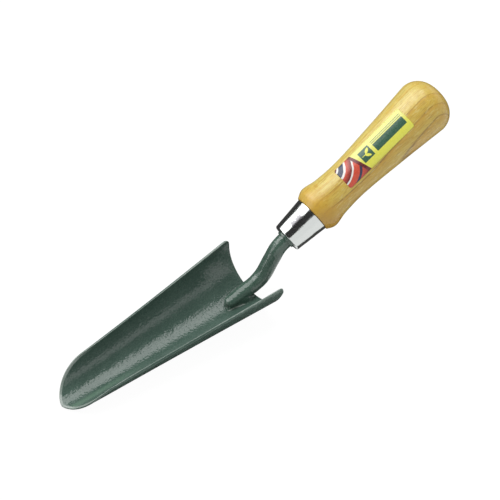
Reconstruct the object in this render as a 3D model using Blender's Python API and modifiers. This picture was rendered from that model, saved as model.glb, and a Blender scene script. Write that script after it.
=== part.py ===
"""Transplanting trowel: a pressed trough blade, a cranked neck welded into it, a tapered
ferrule and a turned wooden handle that holds the neck's tang.

Metres, +Z up. The blade lies with its trough upwards and its bottom line along X, the nose
towards -X, and the handle rises behind it. The tool is symmetric about the XZ plane, apart
from the label. It is drawn with X = 0 at the nose and Z = 0 under the blade, and moved at the
end so that the origin is under the middle of the whole tool."""

from math import acos, cos, pi, radians, sin, sqrt, tan

import bmesh
import bpy
from mathutils import Vector

COLLECTION = "transplanting_trowel"

# Clearance kept between pieces that touch on the real tool
SEAT_GAP = 0.0003

# Blade: a tapered half pipe of pressed sheet; radii are of its inner face
BLADE_LENGTH = 0.1613
BLADE_SHEET = 0.0018
BLADE_NOSE_RADIUS = 0.0150
BLADE_REAR_RADIUS = 0.0273
BLADE_WAISTING = 0.0005
BLADE_NOSE_WRAP = radians(83.0)
BLADE_REAR_WRAP = radians(91.3)
NOSE_LENGTH = 0.0302
NOSE_ROUNDNESS = 1.89
NOSE_SHOULDER = 1.37
NOSE_LIFT = 0.0008
NOSE_LIFT_LENGTH = 0.0320
REAR_HORN_LENGTH = 0.0048
REAR_CORNER_RADIUS = 0.0046
BLADE_EDGE_BEVEL = 0.0005

# Neck: one round bar, laid in the trough, cranked up and turned back into the handle's line
NECK_RADIUS = 0.0057
NECK_END_RADIUS = 0.0040
NECK_END_ROUNDING = 0.0013
NECK_SEAT_LENGTH = 0.0212
NECK_TAPER_LENGTH = 0.0240
NECK_CRANK_SETBACK = 0.0071
NECK_LOWER_BEND = 0.0155
NECK_UPPER_BEND = 0.0154
NECK_UPPER_STRAIGHT = 0.0077

# Collar forged on the neck, which stops in the ferrule's mouth, and the tang behind it
COLLAR_RADIUS = 0.0069
COLLAR_THICKNESS = 0.0022
COLLAR_PROUD = 0.0013
COLLAR_EDGE = 0.0003
COLLAR_EDGE_LENGTH = 0.00005
TANG_ROOT_RADIUS = 0.0045
TANG_TIP_RADIUS = 0.0026
TANG_END_RADIUS = 0.0013
TANG_LENGTH = 0.0620

# Weld bead round the seated end of the neck
WELD_RADIUS = 0.0012
WELD_END_RADIUS = 0.0005
WELD_NOSE_CLEARANCE = 0.0004
WELD_REAR_SETBACK = 0.0040

# Place of the ferrule's mouth behind the blade and above its bottom line, and the handle's tilt
MOUTH_SETBACK = 0.0293
MOUTH_HEIGHT = 0.0360
HANDLE_TILT = radians(24.3)

# Ferrule: a drawn cup with a hole for the collar
FERRULE_LENGTH = 0.0244
FERRULE_MOUTH_RADIUS = 0.0107
FERRULE_TAIL_RADIUS = 0.0132
FERRULE_SHEET = 0.0009
FERRULE_EDGE_RADIUS = 0.0016

# Handle: distances are from its shoulder, behind the ferrule
HANDLE_SHOULDER_RADIUS = 0.0142
HANDLE_BEAD_RADIUS = 0.0168
HANDLE_BEAD_DISTANCE = 0.0066
HANDLE_THROAT_RADIUS = 0.0151
HANDLE_THROAT_DISTANCE = 0.0166
HANDLE_WAIST_RADIUS = 0.0143
HANDLE_WAIST_DISTANCE = 0.0312
HANDLE_PALM_RADIUS = 0.0167
HANDLE_PALM_DISTANCE = 0.0687
HANDLE_BUTT_RADIUS = 0.0200
HANDLE_BUTT_DISTANCE = 0.1045
BUTT_DOME_LENGTH = 0.0156
BUTT_DOME_FULLNESS = 0.82

# Hidden inside the ferrule: the chamfer of the wooden spigot and the drill point of the bore
SPIGOT_CHAMFER = 0.0009
BORE_POINT_LENGTH = 0.0013

# Label wrapped on the handle; the turn is measured from the handle's top towards +Y
LABEL_START = 0.0295
LABEL_LENGTH = 0.0605
LABEL_WIDTH = 0.0175
LABEL_TURN = radians(-17.3)
LABEL_THICKNESS = 0.0002

# Fineness of the facets
BLADE_LENGTH_STEPS = 14
BLADE_NOSE_STEPS = 22
BLADE_WRAP_STEPS = 8
BLADE_CORNER_STEPS = 4
TURNED_STEPS = 48
NECK_END_STEPS = 3
NECK_BEVEL_RESOLUTION = 10
WELD_SIDE_STEPS = 7
WELD_TURN_STEPS = 12
WELD_BEVEL_RESOLUTION = 4
BEND_STEP = radians(5.0)
FILLET_STEP = radians(24.0)
PROFILE_STEPS = 22
PROFILE_CROWDING = 1.25
BEAD_STEPS = 5
DOME_STEPS = 9
LABEL_LENGTH_STEPS = 16
LABEL_WIDTH_STEPS = 10
MERGE_DISTANCE = 0.00001


def clear_scene():
    """Empties the scene that the script runs in."""
    for item in list(bpy.data.objects):
        bpy.data.objects.remove(item, do_unlink=True)


def new_collection(name):
    """A collection of the scene for the tool's pieces."""
    collection = bpy.data.collections.new(name)
    bpy.context.scene.collection.children.link(collection)
    return collection


def new_material(name, colour, roughness, metallic=0.0):
    """A plain principled material."""
    material = bpy.data.materials.new(name)
    material.use_nodes = True
    shader = material.node_tree.nodes["Principled BSDF"]
    shader.inputs["Base Color"].default_value = (*colour, 1.0)
    shader.inputs["Roughness"].default_value = roughness
    shader.inputs["Metallic"].default_value = metallic
    material.diffuse_color = (*colour, 1.0)
    return material


def new_empty(name, location=(0, 0, 0), rotation=(0, 0, 0), parent=None):
    """An empty that carries the pieces placed on it."""
    empty = bpy.data.objects.new(name, None)
    empty.location = location
    empty.rotation_euler = rotation
    empty.parent = parent
    empty.empty_display_size = 0.02
    bpy.data.collections[COLLECTION].objects.link(empty)
    return empty


def new_piece(name, data, material, parent):
    """An object of the tool's collection with its own material."""
    data.materials.clear()
    data.materials.append(material)
    piece = bpy.data.objects.new(name, data)
    piece.parent = parent
    bpy.data.collections[COLLECTION].objects.link(piece)
    return piece


def shade_round(mesh, angle=radians(35)):
    """Smooth shading that keeps true edges sharp."""
    mesh.shade_smooth()
    mesh.set_sharp_from_angle(angle=angle)


def filleted(corners, arc_step):
    """Points of a 2D outline whose corners, given as (x, y, radius), are rounded by arcs."""
    points = [Vector(corner[:2]) for corner in corners]
    outline = [points[0]]
    for index in range(1, len(corners) - 1):
        before = (points[index - 1] - points[index]).normalized()
        after = (points[index + 1] - points[index]).normalized()
        turn = pi - acos(max(-1.0, min(1.0, before.dot(after))))
        radius = corners[index][2]
        if radius <= 0 or turn < radians(1):
            outline.append(points[index])
            continue
        reach = radius * tan(turn / 2)
        centre = points[index] + (before + after).normalized() * radius / cos(turn / 2)
        start = points[index] + before * reach - centre
        side = before - before.dot(start) / radius**2 * start
        side.normalize()
        steps = max(2, round(turn / arc_step))
        for step in range(steps + 1):
            angle = turn * step / steps
            outline.append(centre + start * cos(angle) - side * radius * sin(angle))
    outline.append(points[-1])
    return outline


def smooth_radius(stations, distance):
    """Radius at a distance on a smooth line through (distance, radius) stations, which
    swells or necks only at the stations themselves."""
    spans = [
        (b[0] - a[0], (b[1] - a[1]) / (b[0] - a[0])) for a, b in zip(stations, stations[1:])
    ]
    slopes = [spans[0][1]]
    for (width_a, rise_a), (width_b, rise_b) in zip(spans, spans[1:]):
        if rise_a * rise_b <= 0:
            slopes.append(0.0)
        else:
            share = (width_a + width_b) * 3
            weight_a = (2 * width_b + width_a) / share
            slopes.append(1 / (weight_a / rise_a + (1 - weight_a) / rise_b))
    slopes.append(spans[-1][1])
    index = 0
    while index < len(spans) - 1 and distance > stations[index + 1][0]:
        index += 1
    width = spans[index][0]
    u = (distance - stations[index][0]) / width
    start_radius, end_radius = stations[index][1], stations[index + 1][1]
    return (
        (1 + 2 * u) * (1 - u) ** 2 * start_radius
        + u * (1 - u) ** 2 * width * slopes[index]
        + u * u * (3 - 2 * u) * end_radius
        + u * u * (u - 1) * width * slopes[index + 1]
    )


def turned(name, profile, closed, material, parent):
    """A turned piece: a profile of (radius, height) points screwed round its own Z axis. The
    profile runs down its outer side first."""
    mesh = bpy.data.meshes.new(name)
    count = len(profile)
    edges = [(index, index + 1) for index in range(count - 1)]
    if closed:
        edges.append((count - 1, 0))
    mesh.from_pydata([(radius, 0, height) for radius, height in profile], edges, [])
    piece = new_piece(name, mesh, material, parent)
    screw = piece.modifiers.new("turn", "SCREW")
    screw.axis = "Z"
    screw.steps = TURNED_STEPS
    screw.render_steps = TURNED_STEPS
    screw.use_merge_vertices = True
    screw.merge_threshold = MERGE_DISTANCE
    screw.use_smooth_shade = True
    return piece


def swept(name, path, radii, resolution, material, parent):
    """A solid round bar along a path, with its own radius at each point."""
    curve = bpy.data.curves.new(name, "CURVE")
    curve.dimensions = "3D"
    curve.bevel_depth = 1.0
    curve.bevel_resolution = resolution
    curve.use_fill_caps = True
    spline = curve.splines.new("POLY")
    spline.points.add(len(path) - 1)
    for point, place, radius in zip(spline.points, path, radii):
        point.co = (*place, 1.0)
        point.radius = radius
    guide = bpy.data.objects.new(name + "_path", curve)
    bpy.data.collections[COLLECTION].objects.link(guide)
    graph = bpy.context.evaluated_depsgraph_get()
    mesh = bpy.data.meshes.new_from_object(guide.evaluated_get(graph))
    bpy.data.objects.remove(guide, do_unlink=True)
    mesh.name = name
    body = bmesh.new()
    body.from_mesh(mesh)
    bmesh.ops.remove_doubles(body, verts=body.verts, dist=MERGE_DISTANCE)
    bmesh.ops.recalc_face_normals(body, faces=body.faces)
    body.to_mesh(mesh)
    body.free()
    shade_round(mesh)
    return new_piece(name, mesh, material, parent)


def blade_radius(x):
    """Inner radius of the trough at a distance from the nose."""
    share = x / BLADE_LENGTH
    cone = BLADE_NOSE_RADIUS + (BLADE_REAR_RADIUS - BLADE_NOSE_RADIUS) * share
    return cone - BLADE_WAISTING * 4 * share * (1 - share)


def blade_wrap(x):
    """Angle from the bottom line up to the rim at a distance from the nose."""
    return BLADE_NOSE_WRAP + (BLADE_REAR_WRAP - BLADE_NOSE_WRAP) * x / BLADE_LENGTH


def blade_lift(x):
    """How far the nose is sprung up from the bottom line."""
    return NOSE_LIFT * max(0.0, 1 - x / NOSE_LIFT_LENGTH) ** 2


def blade_point(x, angle):
    """Point of the trough's inner face."""
    radius = blade_radius(x)
    height = blade_lift(x) + BLADE_SHEET + radius * (1 - cos(angle))
    return Vector((x, radius * sin(angle), height))


def blade_rear(share):
    """Where the blade ends, at a share of the way from its bottom line up to the rim: the
    rear edge sweeps back to two horns, whose corners are rounded."""
    arc = blade_radius(BLADE_LENGTH) * BLADE_REAR_WRAP * (1 - share)
    cut = 0.0
    if arc < REAR_CORNER_RADIUS:
        inset = REAR_CORNER_RADIUS - arc
        cut = REAR_CORNER_RADIUS - sqrt(max(0.0, REAR_CORNER_RADIUS**2 - inset**2))
    return BLADE_LENGTH + REAR_HORN_LENGTH * share**3 - cut


def blade_shares():
    """Shares of the way up to the rim that get a line of points, closer at the corners."""
    corner = REAR_CORNER_RADIUS / (blade_radius(BLADE_LENGTH) * BLADE_REAR_WRAP)
    shares = [(1 - corner) * step / BLADE_WRAP_STEPS for step in range(1, BLADE_WRAP_STEPS + 1)]
    for step in range(1, BLADE_CORNER_STEPS + 1):
        shares.append(1 - corner * (1 - sin(pi / 2 * step / BLADE_CORNER_STEPS)))
    return shares


def blade_line(share):
    """One line of the blade's net: up one side from the rear edge, round the nose and back."""
    rear = blade_rear(share)
    line = []
    for step in range(BLADE_LENGTH_STEPS):
        x = rear + (NOSE_LENGTH - rear) * step / BLADE_LENGTH_STEPS
        line.append(blade_point(x, -share * blade_wrap(x)))
    for step in range(BLADE_NOSE_STEPS + 1):
        turn = pi * step / BLADE_NOSE_STEPS - pi / 2
        reach = share * max(0.0, cos(turn)) ** (2 / NOSE_ROUNDNESS)
        lift = share * abs(sin(turn)) ** (2 / NOSE_SHOULDER)
        x = NOSE_LENGTH * (1 - reach)
        line.append(blade_point(x, lift * blade_wrap(x) * (1 if turn > 0 else -1)))
    for step in reversed(range(BLADE_LENGTH_STEPS)):
        x = rear + (NOSE_LENGTH - rear) * step / BLADE_LENGTH_STEPS
        line.append(blade_point(x, share * blade_wrap(x)))
    return line


def make_blade(material, parent):
    """The trough as a net of nested lines round its bottom line, given its thickness by
    Solidify and its worn edges by Bevel."""
    body = bmesh.new()
    lines = [[body.verts.new(place) for place in blade_line(share)] for share in blade_shares()]
    rear = blade_rear(0)
    spine = []
    for step in range(BLADE_LENGTH_STEPS + 1):
        x = rear + (NOSE_LENGTH - rear) * step / BLADE_LENGTH_STEPS
        spine.append(body.verts.new(blade_point(x, 0)))
    pole = spine[-1]
    middle = spine[:-1] + [pole] * (BLADE_NOSE_STEPS + 1) + spine[-2::-1]
    net = [middle] + lines
    for inner, outer in zip(net, net[1:]):
        for step in range(len(inner) - 1):
            corners = [inner[step], inner[step + 1], outer[step + 1], outer[step]]
            unique = list(dict.fromkeys(corners))
            body.faces.new(unique)
    bmesh.ops.recalc_face_normals(body, faces=body.faces)
    upward = sum(face.normal.z * face.calc_area() for face in body.faces)
    if upward < 0:
        bmesh.ops.reverse_faces(body, faces=body.faces)
    mesh = bpy.data.meshes.new("blade")
    body.to_mesh(mesh)
    body.free()
    mesh.shade_smooth()
    blade = new_piece("blade", mesh, material, parent)
    sheet = blade.modifiers.new("sheet", "SOLIDIFY")
    sheet.thickness = BLADE_SHEET
    sheet.offset = -1
    sheet.use_even_offset = True
    edge = blade.modifiers.new("worn_edge", "BEVEL")
    edge.width = BLADE_EDGE_BEVEL
    edge.segments = 2
    edge.limit_method = "ANGLE"
    edge.angle_limit = radians(50)
    return blade


def seat_radius(distance):
    """Radius of the neck at a distance from its seated end."""
    if distance >= NECK_TAPER_LENGTH:
        return NECK_RADIUS
    share = distance / NECK_TAPER_LENGTH
    return NECK_END_RADIUS + (NECK_RADIUS - NECK_END_RADIUS) * share


def neck_start():
    """Distance of the neck's seated end from the nose."""
    return BLADE_LENGTH - NECK_SEAT_LENGTH


def mouth_centre():
    """Centre of the ferrule's mouth as (x, z)."""
    return Vector((BLADE_LENGTH + MOUTH_SETBACK, MOUTH_HEIGHT))


def neck_centreline():
    """The neck's centreline in the XZ plane, its bends rounded, and its length up to the
    ferrule's mouth."""
    along = Vector((cos(HANDLE_TILT), sin(HANDLE_TILT)))
    seat_height = BLADE_SHEET + SEAT_GAP + NECK_RADIUS
    mouth = mouth_centre()
    upper = mouth - along * NECK_UPPER_STRAIGHT
    tip = mouth + along * (COLLAR_THICKNESS - COLLAR_PROUD + TANG_LENGTH)
    line = filleted(
        [
            (neck_start(), seat_height, 0),
            (BLADE_LENGTH + NECK_CRANK_SETBACK, seat_height, NECK_LOWER_BEND),
            (*upper, NECK_UPPER_BEND),
            (*tip, 0),
        ],
        BEND_STEP,
    )
    length = sum((b - a).length for a, b in zip(line, line[1:]))
    return line, length - (tip - mouth).length


def along_line(line, distance):
    """Point at a distance along a polyline."""
    for start, end in zip(line, line[1:]):
        span = (end - start).length
        if distance <= span:
            return start + (end - start) * distance / span
        distance -= span
    return line[-1]


def neck_stations():
    """The neck as (distance, radius) stations from its seated end to the tang's tip."""
    line, mouth = neck_centreline()
    rounding = NECK_END_ROUNDING
    stations = []
    for step in range(NECK_END_STEPS + 1):
        angle = pi / 2 * step / NECK_END_STEPS
        stations.append((rounding * (1 - cos(angle)), NECK_END_RADIUS - rounding * (1 - sin(angle))))
    stations.append((NECK_TAPER_LENGTH / 2, seat_radius(NECK_TAPER_LENGTH / 2)))
    stations.append((NECK_TAPER_LENGTH, NECK_RADIUS))
    reached = 0.0
    front = mouth - COLLAR_PROUD
    for start, end in zip(line, line[1:]):
        reached += (end - start).length
        if NECK_TAPER_LENGTH + NECK_RADIUS / 4 < reached < front - COLLAR_EDGE:
            stations.append((reached, NECK_RADIUS))
    back = front + COLLAR_THICKNESS
    stations += [
        (front, NECK_RADIUS),
        (front + COLLAR_EDGE_LENGTH, COLLAR_RADIUS - COLLAR_EDGE),
        (front + COLLAR_EDGE, COLLAR_RADIUS),
        (back - COLLAR_EDGE, COLLAR_RADIUS),
        (back - COLLAR_EDGE_LENGTH, COLLAR_RADIUS - COLLAR_EDGE),
        (back, TANG_ROOT_RADIUS),
        (back + TANG_LENGTH - TANG_TIP_RADIUS, TANG_TIP_RADIUS),
        (back + TANG_LENGTH, TANG_END_RADIUS),
    ]
    return line, stations


def make_neck(material, parent):
    """The forged bar from its drawn-down end in the trough to the tang inside the handle."""
    line, stations = neck_stations()
    path = []
    radii = []
    for distance, radius in stations:
        place = along_line(line, distance)
        drop = NECK_RADIUS - seat_radius(distance)
        path.append((place.x, 0, place.y - drop))
        radii.append(radius)
    return swept("neck", path, radii, NECK_BEVEL_RESOLUTION, material, parent)


def weld_side(x):
    """Centre of the bead beside the neck as (y, z): it touches the neck and the trough."""
    neck = seat_radius(x - neck_start())
    trough = blade_radius(x)
    from_neck = neck + SEAT_GAP + WELD_RADIUS
    from_trough = trough - SEAT_GAP - WELD_RADIUS
    apart = trough - SEAT_GAP - neck
    drop = (from_neck**2 - from_trough**2 + apart**2) / (2 * apart)
    return sqrt(from_neck**2 - drop**2), BLADE_SHEET + SEAT_GAP + neck + drop


def make_weld(material, parent):
    """The bead that runs down one side of the neck, round its end and back."""
    front = neck_start()
    rear = BLADE_LENGTH - WELD_REAR_SETBACK
    side = []
    for step in range(WELD_SIDE_STEPS):
        x = rear + (front - rear) * step / WELD_SIDE_STEPS
        side.append((x, *weld_side(x)))
    half_width = weld_side(front)[0]
    reach = WELD_RADIUS + SEAT_GAP + WELD_NOSE_CLEARANCE
    trough = blade_radius(front)
    turn = []
    for step in range(WELD_TURN_STEPS + 1):
        angle = pi * step / WELD_TURN_STEPS
        y = half_width * cos(angle)
        z = BLADE_SHEET + trough - sqrt((trough - SEAT_GAP - WELD_RADIUS) ** 2 - y * y)
        turn.append((front - reach * sin(angle), y, z))
    path = side + turn + [(x, -y, z) for x, y, z in reversed(side)]
    radii = [WELD_RADIUS] * len(path)
    radii[0] = WELD_END_RADIUS
    radii[-1] = WELD_END_RADIUS
    return swept("weld_bead", path, radii, WELD_BEVEL_RESOLUTION, material, parent)


def ferrule_radius(height):
    """Outer radius of the ferrule at a height above its mouth."""
    share = height / FERRULE_LENGTH
    return FERRULE_MOUTH_RADIUS + (FERRULE_TAIL_RADIUS - FERRULE_MOUTH_RADIUS) * share


def make_ferrule(material, parent):
    """The tapered cup: outer wall, rounded mouth, front face with the collar's hole, inside."""
    hole = COLLAR_RADIUS + SEAT_GAP
    inner_front = ferrule_radius(FERRULE_SHEET) - FERRULE_SHEET
    profile = filleted(
        [
            (FERRULE_TAIL_RADIUS - FERRULE_SHEET / 2, FERRULE_LENGTH, 0),
            (FERRULE_TAIL_RADIUS, FERRULE_LENGTH, FERRULE_SHEET / 3),
            (FERRULE_MOUTH_RADIUS, 0, FERRULE_EDGE_RADIUS),
            (hole, 0, 0),
            (hole, FERRULE_SHEET, 0),
            (inner_front, FERRULE_SHEET, FERRULE_SHEET / 2),
            (FERRULE_TAIL_RADIUS - FERRULE_SHEET, FERRULE_LENGTH, 0),
        ],
        FILLET_STEP,
    )
    return turned("ferrule", profile, True, material, parent)


def handle_stations():
    """The grip's (distance, radius) stations behind the bead."""
    return [
        (HANDLE_BEAD_DISTANCE, HANDLE_BEAD_RADIUS),
        (HANDLE_THROAT_DISTANCE, HANDLE_THROAT_RADIUS),
        (HANDLE_WAIST_DISTANCE, HANDLE_WAIST_RADIUS),
        (HANDLE_PALM_DISTANCE, HANDLE_PALM_RADIUS),
        (HANDLE_BUTT_DISTANCE, HANDLE_BUTT_RADIUS),
    ]


def handle_radius(distance):
    """Radius of the wood at a distance behind its shoulder, up to the dome."""
    if distance < HANDLE_BEAD_DISTANCE:
        share = 1 - distance / HANDLE_BEAD_DISTANCE
        rise = (HANDLE_BEAD_RADIUS - HANDLE_SHOULDER_RADIUS) * cos(pi / 2 * share)
        return HANDLE_SHOULDER_RADIUS + rise
    start = (HANDLE_BEAD_DISTANCE, HANDLE_BEAD_RADIUS)
    ahead = (2 * HANDLE_BEAD_DISTANCE - HANDLE_THROAT_DISTANCE, HANDLE_THROAT_RADIUS)
    return smooth_radius([ahead, start] + handle_stations()[1:], distance)


def handle_profile():
    """Outer side of the wood, from the butt's tip down to the shoulder."""
    shoulder = FERRULE_LENGTH + SEAT_GAP
    butt = shoulder + HANDLE_BUTT_DISTANCE
    profile = []
    for step in range(DOME_STEPS):
        angle = pi / 2 * (1 - step / DOME_STEPS)
        radius = HANDLE_BUTT_RADIUS * max(0.0, cos(angle)) ** BUTT_DOME_FULLNESS
        profile.append((radius if step else 0.0, butt + BUTT_DOME_LENGTH * sin(angle)))
    for step in range(PROFILE_STEPS):
        distance = HANDLE_BUTT_DISTANCE * (1 - step / PROFILE_STEPS) ** PROFILE_CROWDING
        if distance > HANDLE_BEAD_DISTANCE:
            profile.append((handle_radius(distance), shoulder + distance))
    for step in range(BEAD_STEPS + 1):
        distance = HANDLE_BEAD_DISTANCE * (1 - step / BEAD_STEPS)
        profile.append((handle_radius(distance), shoulder + distance))
    return profile


def make_handle(material, parent):
    """The turned wood, with a spigot that fills the ferrule and a bore for the tang."""
    spigot_rear = ferrule_radius(FERRULE_LENGTH) - FERRULE_SHEET - SEAT_GAP
    collar_back = COLLAR_THICKNESS - COLLAR_PROUD
    front = max(FERRULE_SHEET, collar_back) + SEAT_GAP
    spigot_front = ferrule_radius(front) - FERRULE_SHEET - SEAT_GAP
    tang_tip = collar_back + TANG_LENGTH
    taper = (TANG_ROOT_RADIUS - TANG_TIP_RADIUS) / (TANG_LENGTH - TANG_TIP_RADIUS)
    profile = handle_profile()
    profile += [
        (spigot_rear, FERRULE_LENGTH + SEAT_GAP),
        (spigot_front, front + SPIGOT_CHAMFER),
        (spigot_front - SPIGOT_CHAMFER, front),
        (TANG_ROOT_RADIUS + SEAT_GAP - (front - collar_back) * taper, front),
        (TANG_TIP_RADIUS + SEAT_GAP, tang_tip + SEAT_GAP),
        (0.0, tang_tip + SEAT_GAP + BORE_POINT_LENGTH),
    ]
    return turned("handle", profile, False, material, parent)


def make_label(material, parent):
    """The label's sheet, bent round the handle just clear of the wood."""
    body = bmesh.new()
    net = []
    for row in range(LABEL_LENGTH_STEPS + 1):
        distance = LABEL_START + LABEL_LENGTH * row / LABEL_LENGTH_STEPS
        radius = handle_radius(distance) + SEAT_GAP
        height = FERRULE_LENGTH + SEAT_GAP + distance
        line = []
        for column in range(LABEL_WIDTH_STEPS + 1):
            reach = LABEL_WIDTH * (column / LABEL_WIDTH_STEPS - 0.5)
            turn = LABEL_TURN + reach / radius
            line.append(body.verts.new((-radius * cos(turn), radius * sin(turn), height)))
        net.append(line)
    for lower, upper in zip(net, net[1:]):
        for column in range(LABEL_WIDTH_STEPS):
            body.faces.new([lower[column], lower[column + 1], upper[column + 1], upper[column]])
    bmesh.ops.recalc_face_normals(body, faces=body.faces)
    outward = sum(face.normal.x * face.calc_center_median().x for face in body.faces)
    if outward < 0:
        bmesh.ops.reverse_faces(body, faces=body.faces)
    mesh = bpy.data.meshes.new("label")
    body.to_mesh(mesh)
    body.free()
    mesh.shade_smooth()
    label = new_piece("label", mesh, material, parent)
    sheet = label.modifiers.new("sheet", "SOLIDIFY")
    sheet.thickness = LABEL_THICKNESS
    sheet.offset = 1
    return label


def stand_on_origin(root):
    """Moves the tool so that the origin is under the middle of its box."""
    graph = bpy.context.evaluated_depsgraph_get()
    corners = []
    for piece in bpy.data.collections[COLLECTION].objects:
        if piece.type != "MESH":
            continue
        solid = piece.evaluated_get(graph)
        mesh = solid.to_mesh()
        corners += [solid.matrix_world @ vertex.co for vertex in mesh.vertices]
        solid.to_mesh_clear()
    middle = (min(place.x for place in corners) + max(place.x for place in corners)) / 2
    root.location = (-middle, 0, -min(place.z for place in corners))


def main():
    clear_scene()
    new_collection(COLLECTION)
    enamel = new_material("green_enamel", (0.055, 0.115, 0.080), 0.32)
    neck_enamel = new_material("neck_enamel", (0.055, 0.115, 0.080), 0.32)
    weld_enamel = new_material("weld_enamel", (0.050, 0.105, 0.075), 0.38)
    chrome = new_material("chrome", (0.80, 0.81, 0.82), 0.07, 1.0)
    wood = new_material("lacquered_wood", (0.72, 0.52, 0.20), 0.28)
    paper = new_material("label_print", (0.78, 0.76, 0.22), 0.35)
    root = new_empty("trowel")
    make_blade(enamel, root)
    make_neck(neck_enamel, root)
    make_weld(weld_enamel, root)
    mouth = mouth_centre()
    handle_line = new_empty(
        "handle_line", (mouth.x, 0, mouth.y), (0, pi / 2 - HANDLE_TILT, 0), root
    )
    make_ferrule(chrome, handle_line)
    make_handle(wood, handle_line)
    make_label(paper, handle_line)
    bpy.context.view_layer.update()
    stand_on_origin(root)
    bpy.context.view_layer.update()


main()
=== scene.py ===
"""Looks of the transplanting trowel: the measured solids again on a finer net, their
materials, the studio and the camera.

In metres. Blade, neck and weld are drawn with X = 0 at the nose and Z = 0 under the blade;
ferrule, handle and label are drawn round a Z axis that starts at the ferrule's mouth."""

from functools import reduce
from math import cos, exp, pi, radians, sin, sqrt, tan

import bmesh
import bpy
from mathutils import Matrix, Vector, noise


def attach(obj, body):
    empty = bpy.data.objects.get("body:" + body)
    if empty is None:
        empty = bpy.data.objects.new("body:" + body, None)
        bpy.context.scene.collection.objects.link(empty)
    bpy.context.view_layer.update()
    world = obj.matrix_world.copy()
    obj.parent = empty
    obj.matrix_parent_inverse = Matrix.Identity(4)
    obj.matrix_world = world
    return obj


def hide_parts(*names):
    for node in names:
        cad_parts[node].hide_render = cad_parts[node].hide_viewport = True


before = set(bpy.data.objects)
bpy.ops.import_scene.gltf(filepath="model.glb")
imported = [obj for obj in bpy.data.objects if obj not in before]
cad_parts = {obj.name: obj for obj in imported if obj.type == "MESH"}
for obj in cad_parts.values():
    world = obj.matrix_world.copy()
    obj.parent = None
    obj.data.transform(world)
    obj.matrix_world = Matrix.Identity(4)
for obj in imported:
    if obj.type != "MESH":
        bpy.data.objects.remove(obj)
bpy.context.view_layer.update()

# The part's own measures
ROOT_X = -0.1626234
SEAT_GAP = 0.0003
BLADE_LENGTH = 0.1613
BLADE_SHEET = 0.0018
BLADE_NOSE_RADIUS = 0.0150
BLADE_REAR_RADIUS = 0.0273
BLADE_WAISTING = 0.0005
BLADE_NOSE_WRAP = radians(83.0)
BLADE_REAR_WRAP = radians(91.3)
NOSE_LENGTH = 0.0302
NOSE_ROUNDNESS = 1.89
NOSE_SHOULDER = 1.37
NOSE_LIFT = 0.0008
NOSE_LIFT_LENGTH = 0.0320
REAR_CORNER_RADIUS = 0.0046
NECK_RADIUS = 0.0057
NECK_SEAT_LENGTH = 0.0212
NECK_CRANK_SETBACK = 0.0071
NECK_LOWER_BEND = 0.0155
NECK_UPPER_BEND = 0.0154
NECK_UPPER_STRAIGHT = 0.0077
COLLAR_RADIUS = 0.0069
COLLAR_THICKNESS = 0.0022
COLLAR_PROUD = 0.0013
COLLAR_EDGE = 0.0003
TANG_ROOT_RADIUS = 0.0045
TANG_TIP_RADIUS = 0.0026
TANG_END_RADIUS = 0.0013
TANG_LENGTH = 0.0620
MOUTH_SETBACK = 0.0293
MOUTH_HEIGHT = 0.0360
HANDLE_TILT = radians(24.3)
FERRULE_LENGTH = 0.0244
FERRULE_MOUTH_RADIUS = 0.0107
FERRULE_TAIL_RADIUS = 0.0132
FERRULE_SHEET = 0.0009
FERRULE_EDGE_RADIUS = 0.0016
SHOULDER = FERRULE_LENGTH + SEAT_GAP
HANDLE_SHOULDER_RADIUS = 0.0142
HANDLE_BEAD_RADIUS = 0.0168
HANDLE_BEAD_DISTANCE = 0.0066
HANDLE_THROAT_RADIUS = 0.0151
HANDLE_THROAT_DISTANCE = 0.0166
HANDLE_BUTT_RADIUS = 0.0200
HANDLE_BUTT_DISTANCE = 0.1045
HANDLE_STATIONS = [
    (HANDLE_BEAD_DISTANCE, HANDLE_BEAD_RADIUS),
    (HANDLE_THROAT_DISTANCE, HANDLE_THROAT_RADIUS),
    (0.0312, 0.0143),  # waist
    (0.0687, 0.0167),  # palm
    (HANDLE_BUTT_DISTANCE, HANDLE_BUTT_RADIUS),
]
BUTT_DOME_LENGTH = 0.0156
BUTT_DOME_FULLNESS = 0.82
SPIGOT_CHAMFER = 0.0009
BORE_POINT_LENGTH = 0.0013
LABEL_START = 0.0295
LABEL_LENGTH = 0.0605
LABEL_WIDTH = 0.0175
LABEL_TURN = radians(-17.3)
LABEL_THICKNESS = 0.0002

# Fineness of the visual net
BLADE_LENGTH_STEPS = 90
BLADE_NOSE_STEPS = 72
BLADE_WRAP_STEPS = 26
BLADE_CORNER_STEPS = 8
NECK_STEP = 0.0007
NECK_TIP_STEPS = 8
NECK_SIDES = 40
NECK_ARC_STEP = radians(1.8)
WELD_SIDE_STEPS = 60
WELD_TURN_STEPS = 44
WELD_FACE_STEPS = 14
TURNED_STEPS = 160
FERRULE_NET = 0.0012
FERRULE_ARC_STEP = radians(7.5)
DOME_STEPS = 30
HANDLE_STEPS = 84
BEAD_STEPS = 12
LABEL_LENGTH_STEPS = 90
LABEL_WIDTH_STEPS = 30
TURNED_SHARP = radians(38)
FORMED_SHARP = radians(60)

# How far the rear horn reaches back on each side
REAR_HORNS = {-1: 0.0060, 1: 0.0024}

# The sheet's edge: rounded, and cut so that it leans outward
EDGE_BULGE = 0.00045
EDGE_LEAN = 0.00065
EDGE_STEPS = 8
EDGE_SQUARENESS = 0.65

# The narrow face ground on top of the nose's edge, and where it dies out
GRIND_WIDTH = 0.0016
GRIND_DEPTH = 0.0006
GRIND_SPAN = 0.027
GRIND_END = 0.044
GRIND_FADE = 0.020

# The visual neck's end: drawn down further, flattened and a little aside
TIP_AHEAD = 0.0017
TIP_RADIUS = 0.0029
TIP_LENGTH = 0.0026
TIP_TAPER_LENGTH = 0.0310
TIP_FLAT_LENGTH = 0.0270
TIP_SPREAD = 0.30
TIP_FLATNESS = 0.06
TIP_ASIDE = -0.0006

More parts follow.
